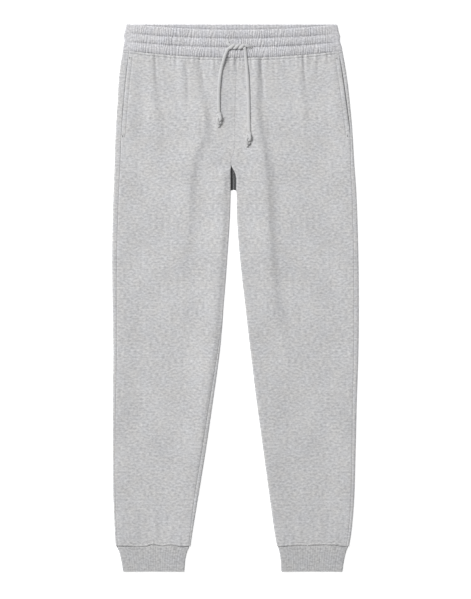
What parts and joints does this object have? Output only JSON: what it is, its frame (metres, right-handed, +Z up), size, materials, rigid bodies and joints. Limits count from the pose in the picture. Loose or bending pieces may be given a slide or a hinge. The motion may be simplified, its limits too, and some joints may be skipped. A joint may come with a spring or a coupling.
{
  "type": "jogger sweatpants",
  "caption": "Fleece jogger sweatpants laid flat, with gathered drawcord waist, side seam pockets, tapered legs and ribbed cuffs.",
  "frame": {"origin": "on the floor under the middle of the garment as laid, half way down its length", "axes": "+Y towards the waist, +X towards the wearer's left leg, +Z up out of the front"},
  "size_m": [0.46, 1.02, 0.0213],
  "materials": {
    "fleece": "heather grey brushed sweatshirt fleece, matt with a slight nap",
    "waistband": "heather grey fleece gathered over elastic in three stitched channels",
    "rib": "heather grey rib knit, a little darker than the body",
    "cord": "heather grey soft tubular drawcord"
  },
  "bodies": {
    "root": {"waistband": "waistband", "front_right": "fleece", "front_left": "fleece", "back_right": "fleece", "back_left": "fleece", "pocket_right": "fleece", "pocket_left": "fleece", "cuff_right": "rib", "cuff_left": "rib", "drawcord_right": "cord", "drawcord_left": "cord", "knot_right": "cord", "knot_left": "cord"}
  },
  "joints": []
}
